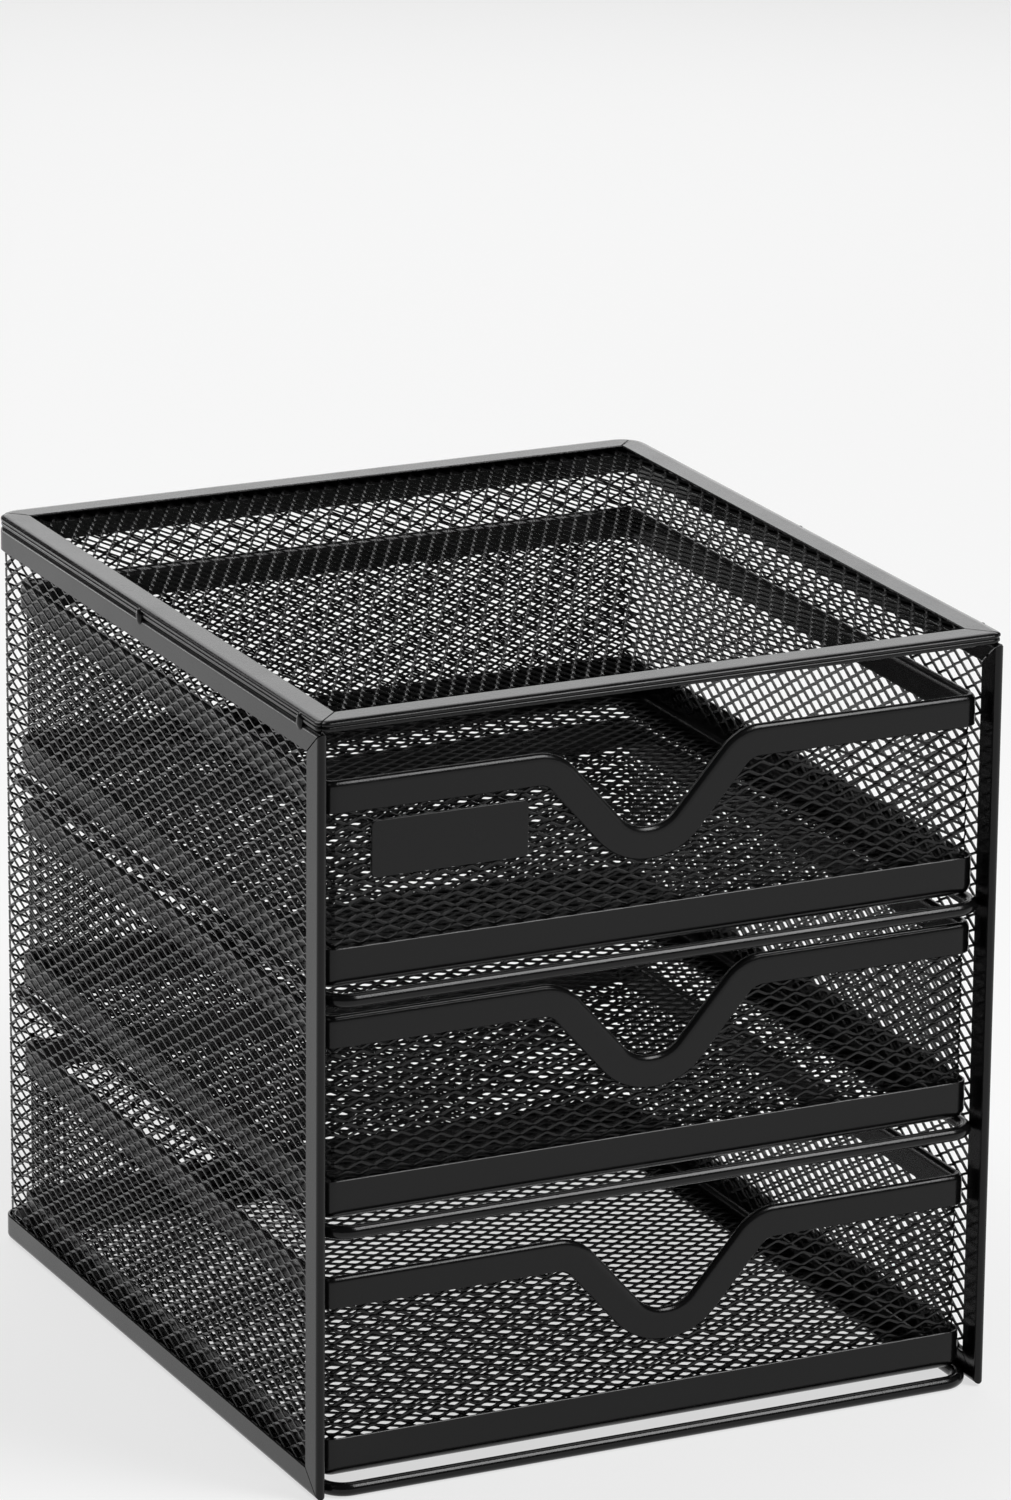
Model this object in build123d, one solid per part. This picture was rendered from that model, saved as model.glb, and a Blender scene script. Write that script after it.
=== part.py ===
from build123d import *
from math import atan2, ceil, cos, degrees, hypot, pi, sin, tan
import os

os.makedirs("parts", exist_ok=True)

# Mesh desk organizer with three drawers. Millimetres, +Z up, front faces -Y.
# Z = 0 is the desk, X = 0 and Y = 0 are the middle of the housing.

# Housing
HOUSING_WIDTH = 150.0
HOUSING_DEPTH = 164.5
WALL_HEIGHT = 158.2
WALL_LIFT = 0.5            # the lowest rod stands this far below the wall's edge
WALL_CORNER = 5.5          # outside radius of the two back corners
SHEET = 0.45               # steel of every folded strip and band
HOUSING_MESH = 0.9         # flattened thickness of the housing's expanded mesh
MESH_FIT = 0.05            # play between a mesh and each leg of the fold around it
MESH_LAP = 2.4             # how far a mesh runs into the fold around its edge
FOLD_NOSE = 1.2            # from the outside of a fold's nose to the end of its slot
FOLD_ROLL = 0.5            # how far the two edges of a nose are rolled over
POST_WIDTH = 6.0
TOP_RIM_HEIGHT = 5.0
BOTTOM_RIM_HEIGHT = 5.2
POST_FOOT_RADIUS = 1.5

# Lid
LID_STRIP_WIDTH = 6.0
LID_FRONT_CORNER = 2.5
LID_MESH = 1.3             # the lid's mesh and folds are thicker than the walls'
LID_ROLL = 0.65            # how far the edges of the lid's frame are rolled over

# Rod runners
ROD_DIAMETER = 2.8
ROD_BEND = 6.5             # outside radius of the rod's corners

# Drawers: three equal ones, one above the other, with a gap over each
RUNNING_CLEARANCE = 0.3    # top of a runner to underside of its drawer
LOWER_GAP = 12.0           # rim of the bottom drawer to underside of the middle one
UPPER_GAP = 5.7            # rim of the middle drawer to underside of the top one
LID_GAP = 11.3             # rim of the top drawer to the lid
STACK_HEIGHT = WALL_LIFT + WALL_HEIGHT - ROD_DIAMETER - RUNNING_CLEARANCE
DRAWER_HEIGHT = (STACK_HEIGHT - LOWER_GAP - UPPER_GAP - LID_GAP) / 3
LOWER_PITCH = DRAWER_HEIGHT + LOWER_GAP    # bottom runner to middle runner
UPPER_PITCH = DRAWER_HEIGHT + UPPER_GAP    # middle runner to top runner
DRAWER_MESH = 1.1
FRONT_SETBACK = 4.0        # front of the posts to front of the drawers
SIDE_CLEARANCE = 1.0
BACK_CLEARANCE = 3.7
RIM_HEIGHT = 6.5
RIM_NOSE = 0.9
BAND_HEIGHT = 8.2
BAND_BEND = 2.3            # outside radius of the band's lower edge
BAND_FLANGE = 8.0          # width of the band's foot under the floor mesh
CORNER_EXTRA = 0.7         # vertical corner radius beyond the band's bend
SEAM_INSET = 6.0           # side of the drawer to the seam of its front strips

# Finger cut-out in each drawer front
NOTCH_DEPTH = 18.1
NOTCH_TOP_WIDTH = 39.2
NOTCH_FLOOR_WIDTH = 7.6
NOTCH_TOP_RADIUS = 10.5
NOTCH_FLOOR_RADIUS = 8.0
NOTCH_STRAIGHT = 0.2       # least straight edge left on the floor between its two bends
TOP_NOTCH_SHIFT = -1.7     # middle of the drawer to middle of its cut-out
MIDDLE_NOTCH_SHIFT = -0.2
BOTTOM_NOTCH_SHIFT = 3.8

# Label plate on the top drawer
LABEL_WIDTH = 33.7
LABEL_HEIGHT = 11.6
LABEL_THICKNESS = 0.7
LABEL_CORNER = 1.0
LABEL_LEFT = 10.1          # side of the drawer to the plate
LABEL_DROP = 8.8           # top of the drawer's rim to the plate

# Expanded mesh, drawn coarser than the real one
LONG_PITCH = 17.4
SHORT_PITCH = 9.8
STRAND_WIDTH = 1.9

# Small bends are drawn as a few flats
BEND_FLATS = 3
ROD_SIDES = 12

# Derived from the sizes above
wall = 2 * SHEET + 2 * MESH_FIT + HOUSING_MESH
half_width = HOUSING_WIDTH / 2
front = -HOUSING_DEPTH / 2
back = HOUSING_DEPTH / 2
wall_foot = WALL_LIFT
wall_top = WALL_LIFT + WALL_HEIGHT
rod_radius = ROD_DIAMETER / 2
bottom_runner_top = ROD_DIAMETER
middle_runner_top = LOWER_PITCH + ROD_DIAMETER
top_runner_top = LOWER_PITCH + UPPER_PITCH + ROD_DIAMETER
drawer_wall = 2 * SHEET + 2 * MESH_FIT + DRAWER_MESH
drawer_half = half_width - wall - SIDE_CLEARANCE
drawer_front = front + FRONT_SETBACK
drawer_back = back - wall - BACK_CLEARANCE
drawer_depth = drawer_back - drawer_front
drawer_mid = (drawer_front + drawer_back) / 2
drawer_corner = BAND_BEND + CORNER_EXTRA
seam = drawer_half - SEAM_INSET
notch_slope = atan2(NOTCH_DEPTH, (NOTCH_TOP_WIDTH - NOTCH_FLOOR_WIDTH) / 2)
widest_floor_radius = (NOTCH_FLOOR_WIDTH - NOTCH_STRAIGHT) / 2 / tan(notch_slope / 2)
notch_floor_radius = min(NOTCH_FLOOR_RADIUS, widest_floor_radius)


def fold_section(width, thickness, nose, roll=0):
    """A strip folded over a mesh edge: nose at the origin, legs towards -Y."""
    half = thickness / 2
    slot = half - SHEET
    right_side = [(half, -width), (slot, -width), (slot, -nose)]
    right_side = ([(half - roll, 0), (half, -roll)] if roll else [(half, 0)]) + right_side
    left_side = [(-x, y) for x, y in reversed(right_side)]
    return make_face(Polyline(*right_side, *left_side, close=True))


def swept_fold(path, up, section):
    """Sweep a fold along a path in one plane, its nose pointing to the given side."""
    start = path @ 0
    heading = path % 0
    across = Vector(*up).cross(heading)
    profile = Plane(start, x_dir=across, z_dir=heading) * section
    return sweep(profile, path=path, transition=Transition.RIGHT)


def bent_points(corners, radius):
    """Route in the plan view with each right-angled corner bent in a few flats."""
    route = [corners[0]]
    for before, corner, after in zip(corners, corners[1:], corners[2:]):
        incoming = (Vector(*corner) - Vector(*before)).normalized()
        outgoing = (Vector(*after) - Vector(*corner)).normalized()
        centre = Vector(*corner) + (outgoing - incoming) * radius
        for step in range(BEND_FLATS + 1):
            turn = pi / 2 * step / BEND_FLATS
            point = centre - outgoing * radius * cos(turn) + incoming * radius * sin(turn)
            route.append((point.X, point.Y))
    route.append(corners[-1])
    return route


def bent_rectangle(width, depth, radius):
    """A rectangle whose corners are bent in a few flats."""
    x, y = width / 2, depth / 2
    corners = [(0, -y), (x, -y), (x, y), (-x, y), (-x, -y), (0, -y)]
    return make_face(Polyline(*bent_points(corners, radius)[1:-1], close=True))


def side_prism(points):
    """A prism right across the housing, drawn in the side view as (Y, Z)."""
    side_view = Plane(origin=(-HOUSING_WIDTH, 0, 0), x_dir=(0, 1, 0), z_dir=(1, 0, 0))
    return extrude(side_view * make_face(Polyline(*points, close=True)), 2 * HOUSING_WIDTH)


def strand_layer(outline, lean):
    """Parallel strands of one lean, clipped to an outline drawn about the pattern's middle."""
    angle = atan2(SHORT_PITCH, LONG_PITCH)
    spacing = LONG_PITCH * sin(angle)
    box = outline.bounding_box()
    reach = hypot(max(abs(box.min.X), abs(box.max.X)), max(abs(box.min.Y), abs(box.max.Y)))
    rows = ceil(reach / spacing)
    strand = Rectangle(2 * reach + LONG_PITCH, STRAND_WIDTH)
    turn = Rot(0, 0, lean * degrees(angle))
    return outline & (Sketch() + [turn * Pos(0, row * spacing) * strand for row in range(-rows, rows + 1)])


def mesh_panel(plane, outline, thickness):
    """Flat expanded mesh: two crossing layers of strands that lie face to face."""
    lower = extrude(strand_layer(outline, 1), amount=-thickness / 2)
    upper = extrude(strand_layer(outline, -1), amount=thickness / 2)
    return plane * Compound(children=[*lower.solids(), *upper.solids()])


def panel_outline(left, right, low, high):
    return Pos((left + right) / 2, (low + high) / 2) * Rectangle(right - left, high - low)


def corner_bend(ring, x_side, y_side, reach, centre, low, high):
    """Mesh wrapped round a vertical corner, a quarter of a ring."""
    quarter = Pos(x_side * reach / 2, y_side * reach / 2) * Rectangle(reach, reach)
    return Pos(centre[0], centre[1], low) * extrude(ring & quarter, high - low)


nodes = {}

# Wall sheet of the housing: left, back and right mesh joined by two rounded corners
wall_middle = half_width - wall / 2
wall_mid_height = (wall_foot + wall_top) / 2
mesh_low = wall_foot + BOTTOM_RIM_HEIGHT - MESH_LAP - wall_mid_height
mesh_high = wall_top - TOP_RIM_HEIGHT + MESH_LAP - wall_mid_height
mesh_front = front + POST_WIDTH - MESH_LAP
corner_start = back - WALL_CORNER

side_outline = panel_outline(mesh_front, corner_start, mesh_low, mesh_high)
back_outline = panel_outline(WALL_CORNER - half_width, half_width - WALL_CORNER, mesh_low, mesh_high)
for name, x_side in (("left_mesh", -1), ("right_mesh", 1)):
    side_plane = Plane(
        origin=(x_side * wall_middle, 0, wall_mid_height), x_dir=(0, 1, 0), z_dir=(1, 0, 0)
    )
    nodes[name] = mesh_panel(side_plane, side_outline, HOUSING_MESH)
back_plane = Plane(origin=(0, back - wall / 2, wall_mid_height), x_dir=(1, 0, 0), z_dir=(0, -1, 0))
nodes["back_mesh"] = mesh_panel(back_plane, back_outline, HOUSING_MESH)
wall_bend = WALL_CORNER - SHEET - MESH_FIT
wall_ring = Circle(wall_bend) - Circle(wall_bend - HOUSING_MESH)
nodes["wall_corners"] = Compound(
    children=[
        corner_bend(
            wall_ring,
            x_side,
            1,
            wall_bend,
            (x_side * (half_width - WALL_CORNER), corner_start),
            mesh_low + wall_mid_height,
            mesh_high + wall_mid_height,
        )
        for x_side in (-1, 1)
    ]
)

# Rims run round three sides and meet the posts in mitres
rim_path = [
    (-wall_middle, front),
    (-wall_middle, back - wall / 2),
    (wall_middle, back - wall / 2),
    (wall_middle, front),
]
rim_bend = WALL_CORNER - wall / 2


def wall_rim(height, z, up):
    path = FilletPolyline(*[(x, y, z) for x, y in rim_path], radius=rim_bend)
    return swept_fold(path, (0, 0, up), fold_section(height, wall, FOLD_NOSE, FOLD_ROLL))


def mitre(z, rim_height, up, keep_rim):
    """Everything on the post's side, or the rim's side, of the mitre at a front corner."""
    near = (front - POST_WIDTH, z + up * rim_height)
    far = (front + 2 * POST_WIDTH, z - up * 2 * rim_height)
    shift = up * 3 * rim_height * (-1 if keep_rim else 1)
    return side_prism([near, far, (far[0], far[1] + shift), (near[0], near[1] + shift)])


foot_square = Pos(front + POST_FOOT_RADIUS / 2, wall_foot + POST_FOOT_RADIUS / 2)
foot_corner = foot_square * Rectangle(POST_FOOT_RADIUS, POST_FOOT_RADIUS)
foot_round = Pos(front + POST_FOOT_RADIUS, wall_foot + POST_FOOT_RADIUS) * Circle(POST_FOOT_RADIUS)
foot_view = Plane(origin=(-HOUSING_WIDTH, 0, 0), x_dir=(0, 1, 0), z_dir=(1, 0, 0))
foot_relief = extrude(foot_view * (foot_corner - foot_round), 2 * HOUSING_WIDTH)

top_rim = wall_rim(TOP_RIM_HEIGHT, wall_top, 1)
bottom_rim = wall_rim(BOTTOM_RIM_HEIGHT, wall_foot, -1)
nodes["top_rim"] = top_rim - mitre(wall_top, TOP_RIM_HEIGHT, 1, True)
nodes["bottom_rim"] = bottom_rim - mitre(wall_foot, BOTTOM_RIM_HEIGHT, -1, True) - foot_relief

post_section = fold_section(POST_WIDTH, wall, FOLD_NOSE, FOLD_ROLL)
for name, x_side in (("left_post", -1), ("right_post", 1)):
    post_plane = Plane(
        origin=(x_side * wall_middle, front, wall_foot), x_dir=(-1, 0, 0), z_dir=(0, 0, 1)
    )
    post = extrude(post_plane * post_section, WALL_HEIGHT)
    post -= mitre(wall_top, TOP_RIM_HEIGHT, 1, False)
    post -= mitre(wall_foot, BOTTOM_RIM_HEIGHT, -1, False)
    nodes[name] = post - foot_relief


# Lid: a rolled-edge frame on the top rim, split into four mitred strips, with its own mesh
def lid_outline(inset):
    plate = Rectangle(HOUSING_WIDTH - 2 * inset, HOUSING_DEPTH - 2 * inset)
    corners = plate.vertices().sort_by(Axis.Y)
    plate = fillet(corners[:2], LID_FRONT_CORNER - inset)
    corners = plate.vertices().sort_by(Axis.Y)
    return fillet(corners[-2:], WALL_CORNER - inset)


lid_thickness = 2 * SHEET + 2 * MESH_FIT + LID_MESH
lid_slot = LID_MESH + 2 * MESH_FIT
lid_middle = wall_top + lid_thickness / 2
lid_plate = Pos(0, 0, wall_top) * extrude(lid_outline(0), lid_thickness)
rolled = lid_plate.edges().group_by(Axis.Z)[0] + lid_plate.edges().group_by(Axis.Z)[-1]
lid_plate = chamfer(rolled, LID_ROLL)
lid_frame = lid_plate - Pos(0, 0, lid_middle) * Box(
    HOUSING_WIDTH - 2 * LID_STRIP_WIDTH, HOUSING_DEPTH - 2 * LID_STRIP_WIDTH, 2 * lid_thickness
)
lid_frame -= Pos(0, 0, lid_middle - lid_slot / 2) * extrude(lid_outline(FOLD_NOSE), lid_slot)

lid_corners = [(-half_width, front), (half_width, front), (half_width, back), (-half_width, back)]
inner_x = half_width - LID_STRIP_WIDTH
inner_y = back - LID_STRIP_WIDTH
lid_inner = [(-inner_x, -inner_y), (inner_x, -inner_y), (inner_x, inner_y), (-inner_x, inner_y)]
for side, name in enumerate(("front", "right", "back", "left")):
    after = (side + 1) % 4
    quarter = make_face(
        Polyline(
            lid_corners[side], lid_corners[after], lid_inner[after], lid_inner[side], close=True
        )
    )
    piece = lid_frame & (Pos(0, 0, wall_top) * extrude(quarter, lid_thickness))
    nodes["lid_" + name + "_strip"] = piece

lid_inset = LID_STRIP_WIDTH - MESH_LAP
lid_mesh_outline = Rectangle(HOUSING_DEPTH - 2 * lid_inset, HOUSING_WIDTH - 2 * lid_inset)
lid_plane = Plane(origin=(0, 0, lid_middle), x_dir=(0, 1, 0), z_dir=(0, 0, 1))
nodes["lid_mesh"] = mesh_panel(lid_plane, lid_mesh_outline, LID_MESH)


# Rod runners: bent rods against the insides of the walls, up to the back corners
def rod_loop(z):
    x = half_width - wall - rod_radius
    near = front + rod_radius
    corners = [(-x, corner_start), (-x, near), (x, near), (x, corner_start)]
    route = bent_points(corners, ROD_BEND - rod_radius)
    path = Polyline(*[(px, py, z) for px, py in route])
    flats = RegularPolygon(rod_radius, ROD_SIDES, major_radius=False, rotation=180 / ROD_SIDES)
    section = Plane(path @ 0, x_dir=(0, 0, 1), z_dir=path % 0) * flats
    return sweep(section, path=path, transition=Transition.RIGHT)


nodes["bottom_runner"] = rod_loop(bottom_runner_top - rod_radius)
nodes["middle_runner"] = rod_loop(middle_runner_top - rod_radius)
nodes["top_runner"] = rod_loop(top_runner_top - rod_radius)


# Drawer front outline: the cut-out's corners, moved into the drawer front by an offset
def notch_points(shift, offset):
    spread = offset * tan(notch_slope / 2)
    top = NOTCH_TOP_WIDTH / 2 + spread
    floor = NOTCH_FLOOR_WIDTH / 2 + spread
    brim = DRAWER_HEIGHT - offset
    return [
        (shift - top, brim),
        (shift - floor, brim - NOTCH_DEPTH),
        (shift + floor, brim - NOTCH_DEPTH),
        (shift + top, brim),
    ]


def drawer_nodes(name, underside, notch_shift):
    pieces = {}
    lift = Pos(0, 0, underside)
    front_middle = drawer_front + drawer_wall / 2
    back_middle = drawer_back - drawer_wall / 2
    side_middle = drawer_half - drawer_wall / 2
    flat_half = drawer_half - drawer_corner
    mesh_foot = BAND_BEND + MESH_FIT
    mesh_head = DRAWER_HEIGHT - RIM_HEIGHT + MESH_LAP

    # Front rim follows the cut-out, side rim goes round the other three sides
    section = fold_section(RIM_HEIGHT, drawer_wall, RIM_NOSE)
    brim = [(-seam, DRAWER_HEIGHT), *notch_points(notch_shift, 0), (seam, DRAWER_HEIGHT)]
    radii = [NOTCH_TOP_RADIUS, notch_floor_radius, notch_floor_radius, NOTCH_TOP_RADIUS]
    front_path = FilletPolyline(*[(x, front_middle, z) for x, z in brim], radius=radii)
    pieces["front_rim"] = swept_fold(front_path, (0, 0, 1), section)
    corners = [
        (-seam, front_middle),
        (-side_middle, front_middle),
        (-side_middle, back_middle),
        (side_middle, back_middle),
        (side_middle, front_middle),
        (seam, front_middle),
    ]
    route = bent_points(corners, drawer_corner - drawer_wall / 2)
    side_path = Polyline(*[(x, y, DRAWER_HEIGHT) for x, y in route])
    pieces["side_rim"] = swept_fold(side_path, (0, 0, 1), section)

    # Front band: a strip bent round the lower edge, its foot under the floor mesh
    bend = (drawer_front + BAND_BEND, BAND_BEND)
    legs = [(drawer_front + BAND_FLANGE, 0), (drawer_front, BAND_HEIGHT)]
    band_edges = []
    for inset in (0, SHEET):
        radius = BAND_BEND - inset
        arc_foot = (bend[0], inset)
        arc_head = (drawer_front + inset, bend[1])
        band_edges.append(Line((legs[0][0], inset), arc_foot))
        band_edges.append(RadiusArc(arc_foot, arc_head, radius))
        band_edges.append(Line(arc_head, (drawer_front + inset, legs[1][1])))
    band_edges.append(Line((legs[0][0], 0), (legs[0][0], SHEET)))
    band_edges.append(Line(legs[1], (drawer_front + SHEET, legs[1][1])))
    band_view = Plane(origin=(-seam, 0, 0), x_dir=(0, 1, 0), z_dir=(1, 0, 0))
    pieces["front_band"] = extrude(band_view * make_face(band_edges), 2 * seam)

    # Side band: a shallow bent pan without its middle, open where the front band goes
    outer = extrude(bent_rectangle(2 * drawer_half, drawer_depth, drawer_corner), BAND_HEIGHT)
    outer = chamfer(outer.edges().group_by(Axis.Z)[0], BAND_BEND * (2 - 2**0.5))
    inner_outline = bent_rectangle(
        2 * (drawer_half - SHEET), drawer_depth - 2 * SHEET, drawer_corner - SHEET
    )
    inner = Pos(0, 0, SHEET) * extrude(inner_outline, BAND_HEIGHT)
    inner = chamfer(inner.edges().group_by(Axis.Z)[0], (BAND_BEND - SHEET) * (2 - 2**0.5))
    window = Box(
        2 * (drawer_half - BAND_FLANGE), drawer_depth - 2 * BAND_FLANGE, 4 * BAND_HEIGHT
    )
    band = Pos(0, drawer_mid, 0) * (outer - inner - window)
    front_part = Pos(0, drawer_front, 0) * Box(2 * seam, 2 * BAND_FLANGE, 4 * BAND_HEIGHT)
    pieces["side_band"] = band - front_part

    # Mesh walls and floor; the front mesh is in two halves that meet under the cut-out
    notch = notch_points(notch_shift, RIM_HEIGHT - MESH_LAP)
    split = notch_shift
    left_outline = [(-flat_half, mesh_foot), (-flat_half, mesh_head), *notch[:2]]
    left_outline += [(split, notch[1][1]), (split, mesh_foot)]
    right_outline = [(flat_half, mesh_foot), (flat_half, mesh_head), notch[3], notch[2]]
    right_outline += [(split, notch[2][1]), (split, mesh_foot)]
    pattern_z = (mesh_foot + mesh_head) / 2
    front_plane = Plane(
        origin=(0, front_middle, pattern_z), x_dir=(1, 0, 0), z_dir=(0, -1, 0)
    )
    for half, outline in (("left", left_outline), ("right", right_outline)):
        face = make_face(Polyline(*[(x, z - pattern_z) for x, z in outline], close=True))
        pieces["front_mesh_" + half] = mesh_panel(front_plane, face, DRAWER_MESH)
    wall_half = (mesh_head - mesh_foot) / 2
    for half, x_side in (("left", -1), ("right", 1)):
        side_plane = Plane(
            origin=(x_side * side_middle, drawer_mid, pattern_z), x_dir=(0, 1, 0), z_dir=(1, 0, 0)
        )
        outline = Rectangle(drawer_depth - 2 * drawer_corner, 2 * wall_half)
        pieces[half + "_mesh"] = mesh_panel(side_plane, outline, DRAWER_MESH)
    rear_plane = Plane(origin=(0, back_middle, pattern_z), x_dir=(1, 0, 0), z_dir=(0, -1, 0))
    rear_outline = Rectangle(2 * flat_half, 2 * wall_half)
    pieces["back_mesh"] = mesh_panel(rear_plane, rear_outline, DRAWER_MESH)
    floor_plane = Plane(origin=(0, drawer_mid, SHEET + MESH_FIT + DRAWER_MESH / 2))
    floor_outline = Rectangle(2 * (drawer_half - BAND_BEND), drawer_depth - 2 * BAND_BEND)
    pieces["floor_mesh"] = mesh_panel(floor_plane, floor_outline, DRAWER_MESH)
    mesh_bend = 2 * (drawer_corner - SHEET - MESH_FIT)
    ring_hole = mesh_bend - 2 * DRAWER_MESH
    mesh_ring = bent_rectangle(mesh_bend, mesh_bend, mesh_bend / 2)
    mesh_ring -= bent_rectangle(ring_hole, ring_hole, ring_hole / 2)
    pieces["corners"] = Compound(
        children=[
            corner_bend(
                mesh_ring,
                x_side,
                y_side,
                mesh_bend,
                (x_side * flat_half, drawer_mid + y_side * (drawer_depth / 2 - drawer_corner)),
                mesh_foot,
                mesh_head,
            )
            for x_side in (-1, 1)
            for y_side in (-1, 1)
        ]
    )
    return {name + "_" + piece: lift * shape for piece, shape in pieces.items()}


top_underside = top_runner_top + RUNNING_CLEARANCE
middle_underside = middle_runner_top + RUNNING_CLEARANCE
bottom_underside = bottom_runner_top + RUNNING_CLEARANCE
nodes.update(drawer_nodes("top_drawer", top_underside, TOP_NOTCH_SHIFT))
nodes.update(drawer_nodes("middle_drawer", middle_underside, MIDDLE_NOTCH_SHIFT))
nodes.update(drawer_nodes("bottom_drawer", bottom_underside, BOTTOM_NOTCH_SHIFT))

# Label plate lies on the front mesh of the top drawer
label_x = LABEL_LEFT + LABEL_WIDTH / 2 - drawer_half
label_z = top_underside + DRAWER_HEIGHT - LABEL_DROP - LABEL_HEIGHT / 2
label_plane = Plane(
    origin=(label_x, drawer_front + SHEET + MESH_FIT, label_z), x_dir=(1, 0, 0), z_dir=(0, -1, 0)
)
label = extrude(RectangleRounded(LABEL_WIDTH, LABEL_HEIGHT, LABEL_CORNER), LABEL_THICKNESS)
nodes["label_plate"] = label_plane * label

for name, shape in nodes.items():
    export_step(shape, "parts/" + name + ".step")
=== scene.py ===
import math

import bmesh
import bpy
import numpy as np
from mathutils import Matrix, Vector


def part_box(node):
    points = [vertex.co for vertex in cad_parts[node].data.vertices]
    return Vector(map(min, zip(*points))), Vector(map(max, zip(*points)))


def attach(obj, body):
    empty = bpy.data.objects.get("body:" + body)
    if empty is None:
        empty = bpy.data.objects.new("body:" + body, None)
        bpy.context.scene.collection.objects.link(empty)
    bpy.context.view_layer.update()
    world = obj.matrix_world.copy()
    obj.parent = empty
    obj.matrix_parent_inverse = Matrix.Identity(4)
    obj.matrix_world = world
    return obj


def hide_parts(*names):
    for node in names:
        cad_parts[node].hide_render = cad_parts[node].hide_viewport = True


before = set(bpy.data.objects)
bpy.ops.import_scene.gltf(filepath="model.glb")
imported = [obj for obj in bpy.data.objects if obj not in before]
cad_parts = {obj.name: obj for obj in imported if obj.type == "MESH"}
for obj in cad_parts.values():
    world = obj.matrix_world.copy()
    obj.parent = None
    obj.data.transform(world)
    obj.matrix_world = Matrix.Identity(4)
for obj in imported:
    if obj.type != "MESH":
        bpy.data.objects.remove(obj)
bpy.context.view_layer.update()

scene = bpy.context.scene
MM = 0.001
MERGE_DISTANCE = 2e-6          # in metres

# Housing sizes in millimetres, the same as in the CAD model
WIDTH, DEPTH = 150.0, 164.5
HALF = WIDTH / 2
FRONT, BACK = -DEPTH / 2, DEPTH / 2
FOOT, TOP = 0.5, 158.7         # lower and upper edge of the walls
SHEET = 0.45                   # steel of every folded strip and band
WALL = 1.9                     # across a fold of the walls
LID = 2.3                      # across a fold of the lid
CORNER = 5.5                   # outside radius of the two back corners
FOLD_NOSE = 1.2                # from the outside of a fold's nose to the end of its slot
POST_WIDTH = 6.0
TOP_RIM_HEIGHT, BOTTOM_RIM_HEIGHT = 5.0, 5.2
LID_STRIP_WIDTH = 6.0
LID_FRONT_CORNER = 2.5
LID_ROLL = 1.5                 # from the edge of the lid's frame to the end of its roll
LID_LEVEL = TOP + LID / 2      # middle of the lid's mesh
ROD = 2.8
ROD_BEND = 6.5                 # outside radius of the rod's corners

# Drawer sizes
RUNNING_CLEARANCE = 0.3        # top of a rod to underside of its drawer
SIDE_CLEARANCE, BACK_CLEARANCE = 1.0, 3.7
FRONT_SETBACK = 4.0            # front of the posts to front of the drawers
DRAWER_HALF = HALF - WALL - SIDE_CLEARANCE
DRAWER_FRONT, DRAWER_BACK = FRONT + FRONT_SETBACK, BACK - WALL - BACK_CLEARANCE
DRAWER_HEIGHT = 42.2
LOWER_GAP, UPPER_GAP = 12.0, 5.7    # from the rim of a drawer to the underside of the next
DRAWER_WALL = 2.1              # across a fold of a drawer
DRAWER_CORNER = 3.0
RIM_HEIGHT = 6.5
RIM_NOSE, RIM_ROLL = 0.9, 1.5  # from the rim's edge to the end of its slot, and to the end of its roll
BAND_HEIGHT = 8.2
BAND_BEND = 2.3                # outside radius of the band's lower edge
BAND_FLANGE = 8.0              # width of the band's foot under the floor mesh
SEAM_INSET = 6.0               # side of the drawer to the seam of its front strips
SEAM = DRAWER_HALF - SEAM_INSET
NOTCH_DEPTH = 18.1
NOTCH_TOP, NOTCH_FLOOR = 19.6, 3.8  # half widths of the cut-out's sharp outline
NOTCH_TOP_RADIUS, NOTCH_FLOOR_RADIUS = 10.5, 8.0
LABEL_CORNER = 1.0
LABEL_EDGE = ((0.18, 0.0), (0.05, 0.05), (0.0, 0.18), (0.0, 0.3))    # as (behind the face, inset)

# Height of each drawer's foot, and how far its cut-out stands right of its middle
BOTTOM_LEVEL = ROD + RUNNING_CLEARANCE
MIDDLE_LEVEL = BOTTOM_LEVEL + DRAWER_HEIGHT + LOWER_GAP
TOP_LEVEL = MIDDLE_LEVEL + DRAWER_HEIGHT + UPPER_GAP
DRAWERS = {
    "top_drawer": (TOP_LEVEL, -1.7),
    "middle_drawer": (MIDDLE_LEVEL, -0.2),
    "bottom_drawer": (BOTTOM_LEVEL, 3.8),
}
RUNNERS = {"bottom_runner": BOTTOM_LEVEL, "middle_runner": MIDDLE_LEVEL, "top_runner": TOP_LEVEL}

# Expanded mesh
LONG_PITCH, SHORT_PITCH = 5.8, 3.28     # along and across the rows of openings
BOND = 0.6                     # length of the joint between two strands
STRAND = 0.55                  # width of a strand
GAUGE, TILT = 0.33, math.radians(16)    # thickness and tilt of a strand in walls and drawers
LID_GAUGE, LID_TILT = 0.4, math.radians(24)
LAP = 0.9                      # how far a mesh runs past the line where it meets the next one
WALL_INSET, LID_INSET = 2.5, 3.4        # from the outer edge to the edge of the mesh in its fold
RIM_INSET, BAND_INSET = 2.4, 0.6        # below a drawer's rim, and above its band's bend
NOTCH_INSET = 1.4              # added to the rim's inset under the cut-out
FLOOR_MESH_LEVEL = 0.95        # middle of a drawer's floor mesh above the drawer's foot

# Details of the strips
BEVEL = 0.45 * SHEET           # at the cut edges of a fold
BAND_BEVEL = 0.1               # at the cut edge of a base band
ROLL_END = 0.15                # flat stretch beside a roll, which keeps the shading of the leg flat
MITRE_GAP = 0.2                # from the end of a strip to the middle of the seam
RING_STEPS = 8                 # flats to a corner of a lid strip or base band
ROD_SIDES = 20

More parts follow.
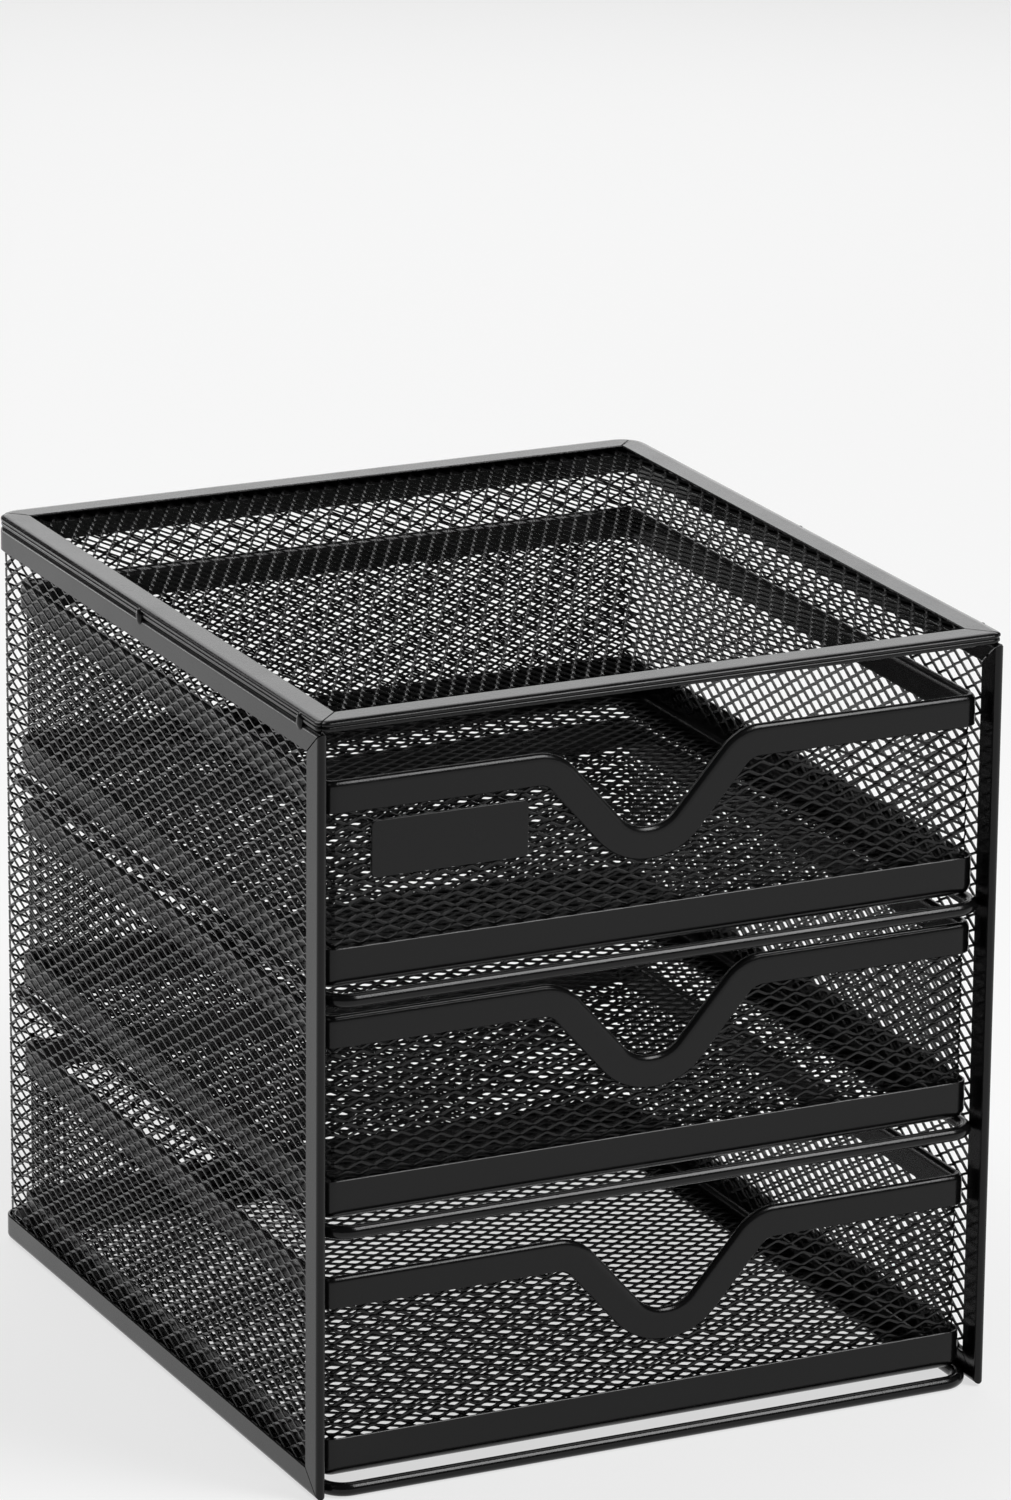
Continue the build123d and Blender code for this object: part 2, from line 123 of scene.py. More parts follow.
# Tack welds of the lid, two on each side
WELD_ACROSS, WELD_ALONG, WELD_UP = 0.8, 1.1, 1.8    # half sizes
WELDS = [(side, behind) for side in (-1, 1) for behind in (9.0, 87.0)]    # distance behind the front
WELD_SINK, WELD_RAISE = 0.15, 0.3    # in from the side, and above the top of the walls
WELD_RINGS, WELD_SIDES = 9, 16
WELD_ROUGHNESS = 0.1
WELD_SEED = 40


def add_node(tree, kind, sockets=None, **settings):
    """New shader node. Its settings come first, because they decide which sockets it has."""
    node = tree.nodes.new("ShaderNode" + kind)
    for name, value in settings.items():
        setattr(node, name, value)
    for name, value in (sockets or {}).items():
        node.inputs[name].default_value = value
    return node


def empty_tree(owner):
    """Shader tree of a material or world, with nothing in it."""
    owner.use_nodes = True
    owner.node_tree.nodes.clear()
    return owner.node_tree


def powder_coat(name, shade, rough, grain=2600.0, bump=0.06, spread=0.05):
    """Black powder coat: orange-peel bump, cloudy gloss and slightly uneven depth of black."""
    material = bpy.data.materials.new(name)
    tree = empty_tree(material)
    out = add_node(tree, "OutputMaterial")
    shader = add_node(tree, "BsdfPrincipled", {
        "Metallic": 0.0,
        "IOR": 1.6,
        "Specular Tint": (0.38, 0.38, 0.38, 1),
    })
    coords = add_node(tree, "TexCoord")
    peel = add_node(tree, "TexNoise", {"Scale": grain, "Detail": 3.0, "Roughness": 0.55})
    cloud = add_node(tree, "TexNoise", {"Scale": 90.0, "Detail": 4.0})
    relief = add_node(tree, "Bump", {"Strength": bump, "Distance": 0.0004})
    gloss = add_node(tree, "MapRange", {
        "From Min": 0.3,
        "From Max": 0.7,
        "To Min": rough - spread,
        "To Max": rough + spread,
    })
    darker = (shade * 0.8, shade * 0.8, shade * 0.83, 1)
    lighter = (shade * 1.25, shade * 1.25, shade * 1.3, 1)
    tone = add_node(tree, "Mix", {"A": darker, "B": lighter}, data_type="RGBA")
    for noise in (peel, cloud):
        tree.links.new(coords.outputs["Object"], noise.inputs["Vector"])
    tree.links.new(peel.outputs["Fac"], relief.inputs["Height"])
    tree.links.new(cloud.outputs["Fac"], gloss.inputs["Value"])
    tree.links.new(cloud.outputs["Fac"], tone.inputs["Factor"])
    tree.links.new(tone.outputs["Result"], shader.inputs["Base Color"])
    tree.links.new(gloss.outputs["Result"], shader.inputs["Roughness"])
    tree.links.new(relief.outputs["Normal"], shader.inputs["Normal"])
    tree.links.new(shader.outputs["BSDF"], out.inputs["Surface"])
    return material


# Materials by the name of their slot in the record
COATS = {
    "strip_coat": powder_coat("strip_coat_black", shade=0.003, rough=0.2),
    "mesh_coat": powder_coat("mesh_coat_black", shade=0.003, rough=0.24, grain=3200.0, bump=0.05),
    "rod_coat": powder_coat("rod_coat_black", shade=0.004, rough=0.15, bump=0.04, spread=0.04),
    "label_coat": powder_coat("label_coat_black", shade=0.004, rough=0.3, grain=4000.0, bump=0.03),
}


def new_object(name, skin, body, nodes, slot="strip_coat", sharp=40, merge=True):
    """Piece that rides on a body and stands for CAD nodes. Edges of over sharp degrees stay hard."""
    verts, faces = skin
    mesh = bpy.data.meshes.new(name)
    mesh.from_pydata([(x * MM, y * MM, z * MM) for x, y, z in verts], [], faces)
    if merge:
        edit = bmesh.new()
        edit.from_mesh(mesh)
        bmesh.ops.remove_doubles(edit, verts=edit.verts, dist=MERGE_DISTANCE)
        bmesh.ops.recalc_face_normals(edit, faces=edit.faces)
        edit.to_mesh(mesh)
        edit.free()
    mesh.polygons.foreach_set("use_smooth", [True] * len(mesh.polygons))
    mesh.set_sharp_from_angle(angle=math.radians(sharp))
    mesh.materials.append(COATS[slot])
    piece = bpy.data.objects.new(name, mesh)
    scene.collection.objects.link(piece)
    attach(piece, body)
    if nodes:
        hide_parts(*nodes)


def loft(stations):
    """Skin over a row of equal sections, capped at both ends."""
    count = len(stations[0])
    verts = [point for station in stations for point in station]
    faces = []
    for i in range(len(stations) - 1):
        near, far = i * count, (i + 1) * count
        for j in range(count):
            k = (j + 1) % count
            faces.append((near + j, near + k, far + k, far + j))
    faces.append(tuple(reversed(range(count))))
    faces.append(tuple(range(len(verts) - count, len(verts))))
    return verts, faces


def left_of(way):
    """Unit normal to the left of a way."""
    return Vector((-way.y, way.x))


def arc_route(corners, radii, steps=10):
    """Flat route with rounded corners, as (point, unit normal to the left of travel)."""
    points = [Vector(corner) for corner in corners]
    ways = [(end - start).normalized() for start, end in zip(points, points[1:])]
    route = [(points[0], left_of(ways[0]))]
    for point, before, after, radius in zip(points[1:], ways, ways[1:], radii):
        turn = math.atan2(before.x * after.y - before.y * after.x, before.dot(after))
        side = 1 if turn > 0 else -1
        tangent = radius * math.tan(abs(turn) / 2)
        normal = left_of(before)
        centre = point - before * tangent + normal * side * radius
        for k in range(steps + 1):
            c, s = math.cos(turn * k / steps), math.sin(turn * k / steps)
            turned = Vector((normal.x * c - normal.y * s, normal.x * s + normal.y * c))
            route.append((centre - turned * side * radius, turned))
    route.append((points[-1], left_of(ways[-1])))
    return route


def quarter(start, end, steps, first):
    """Quarter of an ellipse from start to end, both included, leaving start along coordinate first."""
    points = []
    for i in range(steps + 1):
        a = math.pi / 2 * i / steps
        point = [end[k] + (start[k] - end[k]) * math.cos(a) for k in (0, 1)]
        point[first] = start[first] + (end[first] - start[first]) * math.sin(a)
        points.append(tuple(point))
    return points


def round_nose(half, roll, steps=10):
    """Nose of a fold from one leg round to the other, as (across, depth)."""
    angles = [math.pi * i / steps for i in range(steps + 1)]
    return [(half * math.cos(a), roll - roll * math.sin(a)) for a in angles]


def creased_nose(half, roll, steps=8):
    """Nose of the lid's fold: two beads with a crease between them, the lower bead further in."""
    upper_bead, lower_bead = (0.5, 0.0), (-0.55, 0.12)
    crease_depth, crease_half = 0.45, 0.02
    lower_roll = 0.9
    lower_end = (-half, lower_bead[1] + lower_roll)
    upper = quarter((half, roll), upper_bead, steps, 1)
    crease_in = quarter(upper_bead, (crease_half, crease_depth), steps // 2, 0)
    crease_out = quarter((-crease_half, crease_depth), lower_bead, steps // 2, 1)
    lower = quarter(lower_bead, lower_end, steps, 0)
    return upper + crease_in[1:] + crease_out[1:] + lower[1:]


def fold_section(width, thickness, nose_depth, roll, nose):
    """Folded strip as (across, depth): the nose is at depth 0, and the slot opens at the legs' ends."""
    half = thickness / 2
    slot = half - SHEET
    leg = [(half, roll + ROLL_END), (half, width - 2 * BEVEL)]
    leg += [(half, width - BEVEL), (half - BEVEL, width)]
    other_leg = [(-across, depth) for across, depth in leg]
    opening = [(-slot, width), (-slot, nose_depth), (slot, nose_depth), (slot, width)]
    return leg[::-1] + nose + other_leg + opening


def wall_fold(width):
    """Section of a strip folded over an edge of the walls."""
    roll = WALL / 2
    return fold_section(width, WALL, FOLD_NOSE, roll, round_nose(WALL / 2, roll))


def strand_rows(u_range, v_range, inside, place, gauge, tilt):
    """Rows of zigzag strands joined at their bonds. Each strand is a flat strip, tilted about its length."""
    section = []
    for a, b in ((-1, -1), (1, -1), (1, 1), (-1, 1)):
        w, g = a * STRAND / 2, b * gauge / 2
        section.append((w * math.cos(tilt) - g * math.sin(tilt), w * math.sin(tilt) + g * math.cos(tilt)))
    rise = (SHORT_PITCH / 2 - STRAND * math.cos(tilt)) / 2
    lean = STRAND / 2 * math.sin(tilt)
    row, column = SHORT_PITCH / 2, LONG_PITCH / 2
    verts, faces = [], []
    for k in range(math.floor(v_range[0] / row) - 1, math.ceil(v_range[1] / row) + 1):
        previous = None
        for m in range(math.floor(u_range[0] / column) - 1, math.ceil(u_range[1] / column) + 2):
            up = 1 if (k + m) % 2 == 0 else -1
            for end in (-1, 1):
                u, v = m * column + end * BOND / 2, (k + 0.5) * row + up * rise
                if not inside(u, v):
                    previous = None
                    continue
                base = len(verts)
                verts += [place(u, v + dv, up * lean + dn) for dv, dn in section]
                if previous is not None:
                    for j in range(4):
                        q = (j + 1) % 4
                        faces.append((previous + j, base + j, base + q, previous + q))
                previous = base
    return verts, faces


def mesh_piece(name, u_range, v_range, place, body, nodes, inside=None, gauge=GAUGE, tilt=TILT):
    """Expanded mesh over a range of u and v, or over what inside keeps of it."""
    def in_range(u, v):
        return u_range[0] <= u <= u_range[1] and v_range[0] <= v <= v_range[1]

    skin = strand_rows(u_range, v_range, inside or in_range, place, gauge, tilt)
    new_object(name, skin, body, nodes, "mesh_coat", sharp=30, merge=False)


# Wall sheet, unrolled from the front edge of the left wall round the back to that of the right wall
WALL_X, WALL_Y = HALF - WALL / 2, BACK - WALL / 2
WALL_BEND = CORNER - WALL / 2
BEND_RUN = WALL_BEND * math.pi / 2
SIDE_RUN = DEPTH - CORNER
BACK_RUN = WIDTH - 2 * CORNER
WALL_RUN = 2 * SIDE_RUN + 2 * BEND_RUN + BACK_RUN


def wall_place(u, v, n):
    """Place of a point of the unrolled wall sheet, n outwards of its middle."""
    on_right = u > WALL_RUN / 2
    if on_right:
        u = WALL_RUN - u
    if u <= SIDE_RUN:
        x, y = -WALL_X - n, FRONT + u
    elif u <= SIDE_RUN + BEND_RUN:
        a = (u - SIDE_RUN) / WALL_BEND
        r = WALL_BEND + n
        x, y = -HALF + CORNER - r * math.cos(a), BACK - CORNER + r * math.sin(a)
    else:
        x, y = -HALF + CORNER + u - SIDE_RUN - BEND_RUN, WALL_Y + n
    return (-x if on_right else x, y, v)


def wall_meshes():
    v_range = (FOOT + WALL_INSET, TOP - WALL_INSET)
    left_end, right_end = SIDE_RUN, WALL_RUN - SIDE_RUN
    for name, u_range, nodes in (
        ("left_wall_mesh", (WALL_INSET, left_end + LAP), ("left_mesh",)),
        ("back_wall_mesh", (left_end - LAP, right_end + LAP), ("back_mesh", "wall_corners")),
        ("right_wall_mesh", (right_end - LAP, WALL_RUN - WALL_INSET), ("right_mesh",)),
    ):
        mesh_piece(name, u_range, v_range, wall_place, "housing", nodes)


def wall_rim(node, height, edge, up):
    """Strip folded over the upper or lower edge of the walls, mitred to the posts at its front ends."""
    section = wall_fold(height)
    corners = [(-WALL_X, FRONT), (-WALL_X, WALL_Y), (WALL_X, WALL_Y), (WALL_X, FRONT)]
    stations = []
    for point, normal in arc_route(corners, [WALL_BEND] * 2):
        stations.append([
            (point.x + normal.x * across, point.y + normal.y * across, edge - up * depth)
            for across, depth in section
        ])
    for end in (0, -1):
        stations[end] = [
            (x, FRONT + depth * POST_WIDTH / height + MITRE_GAP, z)
            for (x, _, z), (_, depth) in zip(stations[end], section)
        ]
    new_object(node + "_fold", loft(stations), "housing", (node,))


def post(node, side):
    """Strip folded over the front edge of a wall, mitred to both rims."""
    low, high = [], []
    for across, depth in wall_fold(POST_WIDTH):
        x, y = side * WALL_X + across, FRONT + depth
        low.append((x, y, FOOT + depth * BOTTOM_RIM_HEIGHT / POST_WIDTH + MITRE_GAP))
        high.append((x, y, TOP - depth * TOP_RIM_HEIGHT / POST_WIDTH - MITRE_GAP))
    new_object(node + "_fold", loft([low, high]), "housing", (node,))


# Outlines as (half width, front, back, corner radii), corners anticlockwise from the front left
LID_OUTLINE = (HALF, FRONT, BACK, (LID_FRONT_CORNER, LID_FRONT_CORNER, CORNER, CORNER))
DRAWER_OUTLINE = (DRAWER_HALF, DRAWER_FRONT, DRAWER_BACK, (DRAWER_CORNER,) * 4)


def ring_point(outline, corner, step, inset):
    """Point of an outline moved inwards, counted in steps along a corner's arc."""
    x_half, y_low, y_high, radii = outline
    sx, sy = ((-1, -1), (1, -1), (1, 1), (-1, 1))[corner]
    radius = radii[corner]
    x, y = sx * (x_half - radius), (y_low + radius if sy < 0 else y_high - radius)
    reach = radius - inset
    if reach < 0:
        return x + sx * reach, y + sy * reach
    a = math.pi * (1.0 + 0.5 * corner) + math.pi / 2 * step / RING_STEPS
    return x + reach * math.cos(a), y + reach * math.sin(a)


def lid_frame():
    """Four folded strips, each from the middle of one corner to the middle of the next."""
    section = fold_section(LID_STRIP_WIDTH, LID, FOLD_NOSE, LID_ROLL, creased_nose(LID / 2, LID_ROLL))
    middle = RING_STEPS // 2
    ways = ((1, 0), (0, 1), (-1, 0), (0, -1))
    for corner, (name, way) in enumerate(zip(("front", "right", "back", "left"), ways)):
        span = [(corner, step) for step in range(middle, RING_STEPS + 1)]
        span += [((corner + 1) % 4, step) for step in range(middle + 1)]
        shifts = [MITRE_GAP] + [0] * (len(span) - 2) + [-MITRE_GAP]
        stations = []
        for (at_corner, step), shift in zip(span, shifts):
            station = []
            for across, depth in section:
                x, y = ring_point(LID_OUTLINE, at_corner, step, depth)
                station.append((x + way[0] * shift, y + way[1] * shift, LID_LEVEL + across))
            stations.append(station)
        new_object("lid_" + name + "_fold", loft(stations), "housing", ("lid_" + name + "_strip",))


def lid_mesh():
    """Mesh of the lid, with its rows from front to back."""
    def place(u, v, n):
        return (-v, u, LID_LEVEL + n)

    u_range = (FRONT + LID_INSET, BACK - LID_INSET)
    v_range = (-HALF + LID_INSET, HALF - LID_INSET)
    nodes = ("lid_mesh",)
    mesh_piece("lid_panel_mesh", u_range, v_range, place, "housing", nodes, gauge=LID_GAUGE, tilt=LID_TILT)


def tack_weld(name, x, y, z, seed):
    """Small uneven lump of weld across the groove between the lid and the top rim."""
    rng = np.random.default_rng(seed)
    stations = []
    for i in range(1, WELD_RINGS):
        latitude = math.pi * i / WELD_RINGS
        wobble = 1 + WELD_ROUGHNESS * rng.standard_normal(WELD_SIDES)
        wobble = (wobble + np.roll(wobble, 1) + np.roll(wobble, -1)) / 3
        station = []
        for k in range(WELD_SIDES):
            a = 2 * math.pi * k / WELD_SIDES
            reach = math.sin(latitude) * wobble[k]
            station.append((
                x + WELD_ACROSS * reach * math.cos(a),
                y + WELD_ALONG * reach * math.sin(a),
                z - WELD_UP * math.cos(latitude),
            ))
        stations.append(station)
    new_object(name, loft(stations), "housing", (), sharp=80)


def runner(node, level):
    """Bent rod under a drawer, from one back corner along the side, the front and the other side."""
    radius = ROD / 2
    x, y, end = HALF - WALL - radius, FRONT + radius, BACK - CORNER
    route = arc_route([(-x, end), (-x, y), (x, y), (x, end)], [ROD_BEND - radius] * 2, steps=14)
    angles = [2 * math.pi * k / ROD_SIDES for k in range(ROD_SIDES)]
    circle = [(radius * math.cos(a), radius * math.sin(a)) for a in angles]
    stations = [[(p.x + n.x * out, p.y + n.y * out, level + up) for out, up in circle] for p, n in route]
    new_object(node + "_rod", loft(stations), "housing", (node,), "rod_coat", sharp=60)


wall_meshes()
wall_rim("top_rim", TOP_RIM_HEIGHT, TOP, 1)
wall_rim("bottom_rim", BOTTOM_RIM_HEIGHT, FOOT, -1)
post("left_post", -1)
post("right_post", 1)
lid_frame()
lid_mesh()
for number, (side, behind) in enumerate(WELDS):
    weld_name = "lid_tack_weld_%d" % (number + 1)
    tack_weld(weld_name, side * (HALF - WELD_SINK), FRONT + behind, TOP + WELD_RAISE, WELD_SEED + number)
for runner_name, drawer_level in RUNNERS.items():
    runner(runner_name, drawer_level - RUNNING_CLEARANCE - ROD / 2)


# Body mesh of a drawer, unrolled both ways from the middle of the front
BODY_X = DRAWER_HALF - DRAWER_WALL / 2
BODY_FRONT, BODY_BACK = DRAWER_FRONT + DRAWER_WALL / 2, DRAWER_BACK - DRAWER_WALL / 2
BODY_BEND = DRAWER_CORNER - DRAWER_WALL / 2
BODY_QUARTER = BODY_BEND * math.pi / 2
FRONT_END = DRAWER_HALF - DRAWER_CORNER
SIDE_START = FRONT_END + BODY_QUARTER
SIDE_END = SIDE_START + DRAWER_BACK - DRAWER_FRONT - 2 * DRAWER_CORNER
BACK_START = SIDE_END + BODY_QUARTER
BODY_RANGE = (BAND_BEND + BAND_INSET, DRAWER_HEIGHT - RIM_INSET)


def body_plan(u, n):
    """Plan place of a point of the unrolled body mesh, n outwards of its middle."""
    side = -1 if u < 0 else 1
    u = abs(u)
    if u <= FRONT_END:
        return side * u, BODY_FRONT - n
    if u <= SIDE_START:
        a = (u - FRONT_END) / BODY_BEND
        r = BODY_BEND + n
        return side * (FRONT_END + r * math.sin(a)), DRAWER_FRONT + DRAWER_CORNER - r * math.cos(a)
    if u <= SIDE_END:
        return side * (BODY_X + n), DRAWER_FRONT + DRAWER_CORNER + u - SIDE_START
    if u <= BACK_START:
        a = (u - SIDE_END) / BODY_BEND
        r = BODY_BEND + n
        return side * (FRONT_END + r * math.cos(a)), DRAWER_BACK - DRAWER_CORNER + r * math.sin(a)
    return side * (FRONT_END - (u - BACK_START)), BODY_BACK + n


def notch_route(shift):
    """Upper edge of a drawer's front in x and z, from left to right, with its normals."""
    corners = [
        (-SEAM, 0),
        (shift - NOTCH_TOP, 0),
        (shift - NOTCH_FLOOR, -NOTCH_DEPTH),
        (shift + NOTCH_FLOOR, -NOTCH_DEPTH),
        (shift + NOTCH_TOP, 0),
        (SEAM, 0),
    ]
    radii = [NOTCH_TOP_RADIUS, NOTCH_FLOOR_RADIUS, NOTCH_FLOOR_RADIUS, NOTCH_TOP_RADIUS]
    return arc_route(corners, radii, steps=12)


def notch_depth_at(x, shift):
    """How far the sharp outline of the cut-out lies below the rim at x."""
    aside = abs(x - shift)
    if aside >= NOTCH_TOP:
        return 0.0
    if aside <= NOTCH_FLOOR:
        return NOTCH_DEPTH
    return NOTCH_DEPTH * (NOTCH_TOP - aside) / (NOTCH_TOP - NOTCH_FLOOR)


def band_section(steps=8):
    """Bent strip round a drawer's foot, as (inset, height)."""
    inner = BAND_BEND, SHEET
    section = [(SHEET, BAND_HEIGHT - BAND_BEVEL), (SHEET - BAND_BEVEL, BAND_HEIGHT)]
    section += [(BAND_BEVEL, BAND_HEIGHT), (0, BAND_HEIGHT - BAND_BEVEL)]
    section += quarter((0, BAND_BEND), (BAND_BEND, 0), steps, 1)
    section += [(BAND_FLANGE, 0), (BAND_FLANGE, SHEET)]
    section += quarter(inner, inner[::-1], steps, 0)
    return section


def drawer_rims(name, base, shift):
    """Two folded strips: one along the front and its cut-out, one round the other three sides."""
    nose = round_nose(DRAWER_WALL / 2, RIM_ROLL)
    section = fold_section(RIM_HEIGHT, DRAWER_WALL, RIM_NOSE, RIM_ROLL, nose)
    top = base + DRAWER_HEIGHT
    stations = []
    for p, n in notch_route(shift):
        stations.append([
            (p.x - n.x * depth, BODY_FRONT + across, top + p.y - n.y * depth)
            for across, depth in section
        ])
    new_object(name + "_front_rim_fold", loft(stations), name, (name + "_front_rim",))

    corners = [(-SEAM, BODY_FRONT), (-BODY_X, BODY_FRONT), (-BODY_X, BODY_BACK)]
    corners += [(-x, y) for x, y in reversed(corners)]
    stations = []
    for p, n in arc_route(corners, [BODY_BEND] * 4, steps=8):
        stations.append([(p.x + n.x * across, p.y + n.y * across, top - depth) for across, depth in section])
    new_object(name + "_side_rim_fold", loft(stations), name, (name + "_side_rim",))


def drawer_bands(name, base):
    """Two bent strips round the foot: one along the front, one round the other three sides."""
    section = band_section()
    left, right = [[(x, DRAWER_FRONT + inset, base + h) for inset, h in section] for x in (-SEAM, SEAM)]
    new_object(name + "_front_band_fold", loft([left, right]), name, (name + "_front_band",))

    stations = [right]
    for corner in (1, 2, 3, 0):
        for step in range(RING_STEPS + 1):
            station = []
            for inset, h in section:
                x, y = ring_point(DRAWER_OUTLINE, corner, step, inset)
                station.append((x, y, base + h))
            stations.append(station)
    stations.append(left)
    new_object(name + "_side_band_fold", loft(stations), name, (name + "_side_band",))


def drawer_meshes(name, base, shift):
    """Front, left, right, back and floor mesh. The left and right ones hold the rounded corners."""
    v_low, v_high = BODY_RANGE

    def place(u, v, n):
        return (*body_plan(u, n), base + v)

    def below_notch(u, v):
        depth = notch_depth_at(u, shift)
        edge = v_high - depth - (NOTCH_INSET if depth else 0)
        return abs(u) <= FRONT_END + LAP and v_low <= v <= edge

    front_range = (-FRONT_END - LAP, FRONT_END + LAP)
    nodes = (name + "_front_mesh_left", name + "_front_mesh_right")
    mesh_piece(name + "_front_panel", front_range, BODY_RANGE, place, name, nodes, below_notch)

    start, end = FRONT_END - LAP, BACK_START + LAP
    mesh_piece(name + "_left_panel", (-end, -start), BODY_RANGE, place, name, (name + "_left_mesh",))
    nodes = (name + "_right_mesh", name + "_corners")
    mesh_piece(name + "_right_panel", (start, end), BODY_RANGE, place, name, nodes)

    def back_place(u, v, n):
        return (u, BODY_BACK + n, base + v)

    mesh_piece(name + "_back_panel", front_range, BODY_RANGE, back_place, name, (name + "_back_mesh",))

    def floor_place(u, v, n):
        return (u, (DRAWER_FRONT + DRAWER_BACK) / 2 + v, base + FLOOR_MESH_LEVEL + n)

    x_range = (-DRAWER_HALF + BAND_BEND, DRAWER_HALF - BAND_BEND)
    y_half = (DRAWER_BACK - DRAWER_FRONT) / 2 - BAND_BEND
    mesh_piece(name + "_floor_panel", x_range, (-y_half, y_half), floor_place, name, (name + "_floor_mesh",))


for drawer_name, (drawer_level, notch_shift) in DRAWERS.items():
    drawer_rims(drawer_name, drawer_level, notch_shift)
    drawer_bands(drawer_name, drawer_level)
    drawer_meshes(drawer_name, drawer_level, notch_shift)


def label_plate():
    """Bare plate on the top drawer's front, with rounded corners and a softened front edge."""
    low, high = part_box("label_plate")
    x_mid, z_mid = (low.x + high.x) / 2 / MM, (low.z + high.z) / 2 / MM
    x_half, z_half = (high.x - low.x) / 2 / MM, (high.z - low.z) / 2 / MM
    face, rear = low.y / MM, high.y / MM
    stations = []
    for y, inset in [(rear, 0.0)] + [(face + behind, inset) for behind, inset in LABEL_EDGE]:
        station = []
        for sx, sz, start in ((-1, -1, 180), (1, -1, 270), (1, 1, 0), (-1, 1, 90)):
            x, z = x_mid + sx * (x_half - LABEL_CORNER), z_mid + sz * (z_half - LABEL_CORNER)
            for degrees in range(start, start + 91, 15):
                a = math.radians(degrees)
                reach = LABEL_CORNER - inset
                station.append((x + reach * math.cos(a), y, z + reach * math.sin(a)))
        stations.append(station)
    new_object("label_plate_face", loft(stations), "top_drawer", ("label_plate",), "label_coat", sharp=50)


label_plate()


def largest(tree, first, second):
    """Math node that gives the larger of two outputs."""
    node = add_node(tree, "Math", operation="MAXIMUM")
    tree.links.new(first, node.inputs[0])
    tree.links.new(second, node.inputs[1])
    return node.outputs[0]


def floor_white():
    """Plain white. Camera, gloss and clear parts see it partly lit from within, as a white sweep."""
    glow_share = 0.65
    material = bpy.data.materials.new("floor_white")
    tree = empty_tree(material)
    out = add_node(tree, "OutputMaterial")
    paint = add_node(tree, "BsdfDiffuse", {"Color": (0.85, 0.85, 0.85, 1)})
    glow = add_node(tree, "Emission", {"Strength": 1.0})
    rays = add_node(tree, "LightPath").outputs
    seen = largest(tree, rays["Is Camera Ray"], rays["Is Glossy Ray"])
    seen = largest(tree, seen, rays["Is Transmission Ray"])
    share = add_node(tree, "Math", {1: glow_share}, operation="MULTIPLY")
    mix = add_node(tree, "MixShader")
    tree.links.new(seen, share.inputs[0])
    tree.links.new(share.outputs[0], mix.inputs[0])
    tree.links.new(paint.outputs["BSDF"], mix.inputs[1])
    tree.links.new(glow.outputs[0], mix.inputs[2])
    tree.links.new(mix.outputs[0], out.inputs["Surface"])
    return material


# Floor and lamps, with their sizes and places in metres
FLOOR_HALF = 3.0
floor_corners = [(-FLOOR_HALF, -FLOOR_HALF, 0), (FLOOR_HALF, -FLOOR_HALF, 0)]
floor_corners += [(FLOOR_HALF, FLOOR_HALF, 0), (-FLOOR_HALF, FLOOR_HALF, 0)]
floor_mesh = bpy.data.meshes.new("floor")
floor_mesh.from_pydata(floor_corners, [], [(0, 1, 2, 3)])
floor_mesh.materials.append(floor_white())
floor = bpy.data.objects.new("floor", floor_mesh)
scene.collection.objects.link(floor)

LIT_POINT = Vector((0, 0, 0.08))     # middle of the object


def softbox(name, place, width, height, radiance, upright=(0, 0, 1)):
    """Rectangular lamp aimed at the object; its height runs along upright as nearly as it can."""
    data = bpy.data.lights.new(name, "AREA")
    data.shape = "RECTANGLE"
    data.size = width
    data.size_y = height
    data.energy = radiance * math.pi * width * height
    lamp = bpy.data.objects.new(name, data)
    z_axis = (Vector(place) - LIT_POINT).normalized()
    x_axis = Vector(upright).cross(z_axis).normalized()
    y_axis = z_axis.cross(x_axis)
    lamp.matrix_world = Matrix.Translation(place) @ Matrix((x_axis, y_axis, z_axis)).transposed().to_4x4()
    lamp.visible_camera = False
    scene.collection.objects.link(lamp)


softbox("key_softbox", (-0.4, 0.65, 1.2), width=1.0, height=1.0, radiance=3.1)
softbox("back_softbox", (0.6, 1.05, 0.62), width=0.9, height=0.8, radiance=1.45)
softbox("front_softbox", (0.5, -0.6, 0.98), width=0.36, height=0.8, radiance=11.0, upright=(0, 0.83, 0.55))
softbox("left_softbox", (-0.78, 1.28, 0.14), width=0.9, height=0.2, radiance=2.6)


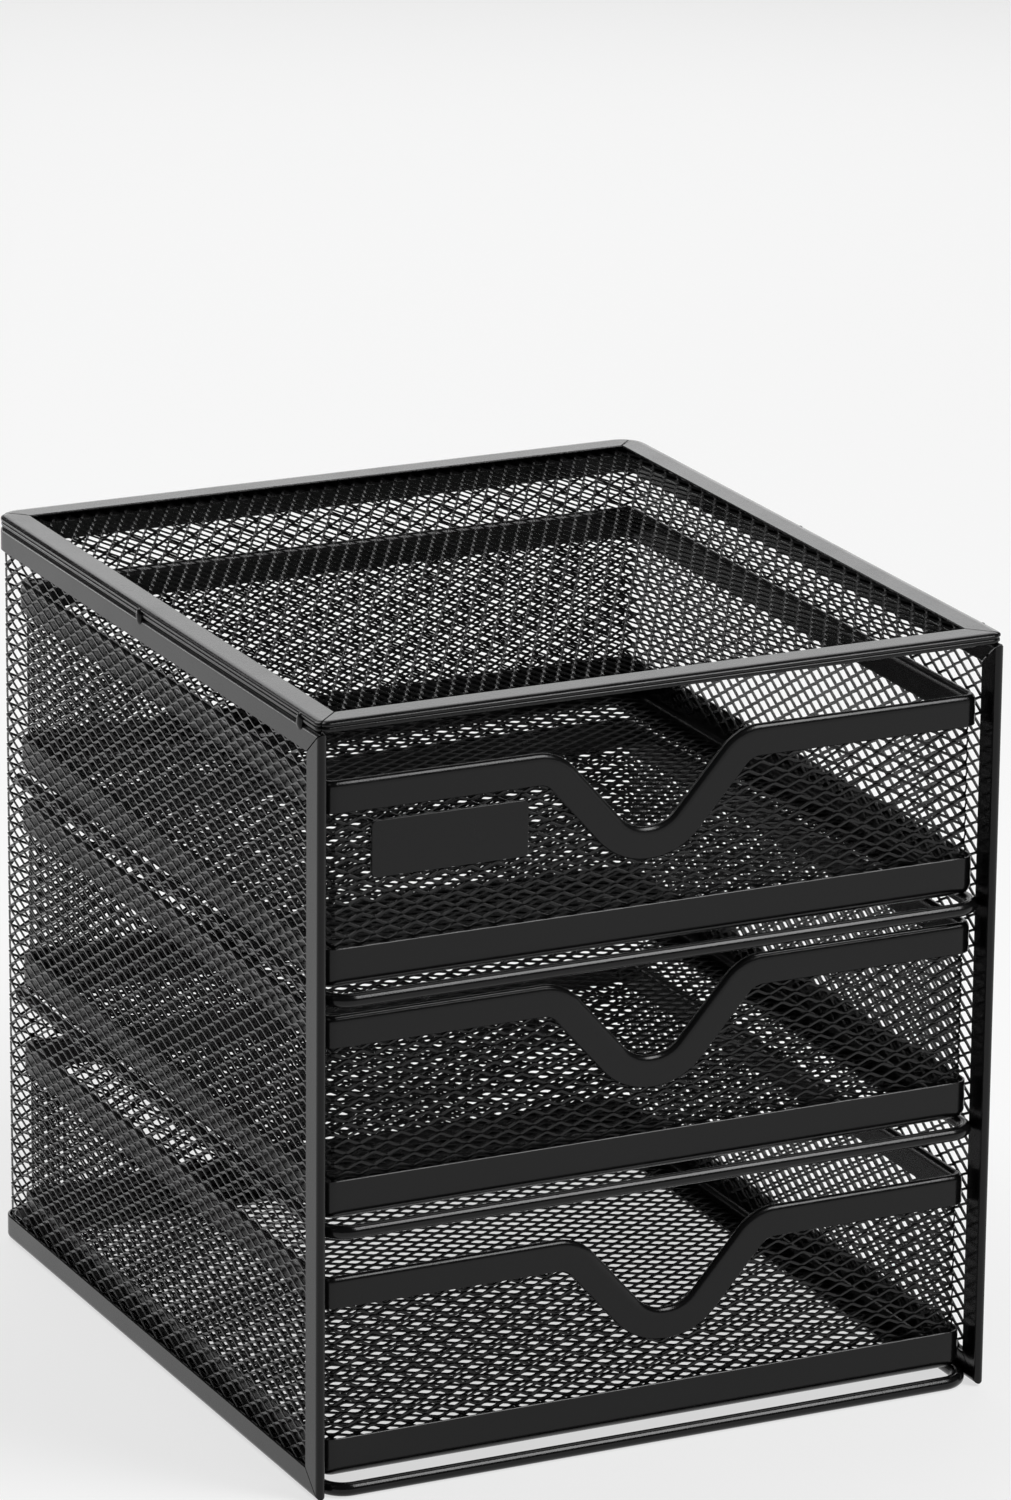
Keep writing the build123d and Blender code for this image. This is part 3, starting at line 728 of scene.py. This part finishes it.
def studio_world():
    """Bright white wall round the horizon under a darker ceiling."""
    wall_top, ceiling_start = 0.03, 0.25    # upward part of the direction looked in
    wall_level, ceiling_level = 1.0, 0.07
    world = bpy.data.worlds.new("studio")
    tree = empty_tree(world)
    out = add_node(tree, "OutputWorld")
    background = add_node(tree, "Background")
    direction = add_node(tree, "TexCoord")
    split = add_node(tree, "SeparateXYZ")
    levels = {
        "From Min": wall_top,
        "From Max": ceiling_start,
        "To Min": wall_level,
        "To Max": ceiling_level,
    }
    level = add_node(tree, "MapRange", levels, interpolation_type="SMOOTHSTEP")
    tree.links.new(direction.outputs["Generated"], split.inputs[0])
    tree.links.new(split.outputs["Z"], level.inputs["Value"])
    tree.links.new(level.outputs["Result"], background.inputs["Color"])
    tree.links.new(background.outputs[0], out.inputs["Surface"])
    return world


scene.world = studio_world()

# Camera fitted to the organizer's corners in the photograph, from an origin level with its walls' foot
AZIMUTH, ELEVATION, ROLL = math.radians(-25.96), math.radians(17.37), math.radians(0.55)
DISTANCE, ASIDE, ABOVE = 1652.0, 5.33, 116.60    # millimetres from there, along the camera's own axes
FOCAL_PIXELS, PHOTO_PIXELS = 7867.0, 1011        # focal length, and width of the photograph
SENSOR = 36.0


def photo_camera():
    """Camera at the photograph's place, turned as the fit says."""
    backward = Vector((
        math.sin(AZIMUTH) * math.cos(ELEVATION),
        -math.cos(AZIMUTH) * math.cos(ELEVATION),
        math.sin(ELEVATION),
    ))
    level = Vector((math.cos(AZIMUTH), math.sin(AZIMUTH), 0.0))
    upward = backward.cross(level)
    right = level * math.cos(ROLL) + upward * math.sin(ROLL)
    up = upward * math.cos(ROLL) - level * math.sin(ROLL)
    eye = (backward * DISTANCE + right * ASIDE + up * ABOVE) * MM + Vector((0, 0, FOOT * MM))
    data = bpy.data.cameras.new("photo_camera")
    data.sensor_fit = "HORIZONTAL"
    data.sensor_width = SENSOR
    data.lens = FOCAL_PIXELS / PHOTO_PIXELS * SENSOR
    data.clip_start = 0.05
    camera = bpy.data.objects.new("photo_camera", data)
    camera.matrix_world = Matrix.Translation(eye) @ Matrix((right, up, backward)).transposed().to_4x4()
    scene.collection.objects.link(camera)
    return camera


scene.camera = photo_camera()
scene.view_settings.view_transform = "Standard"
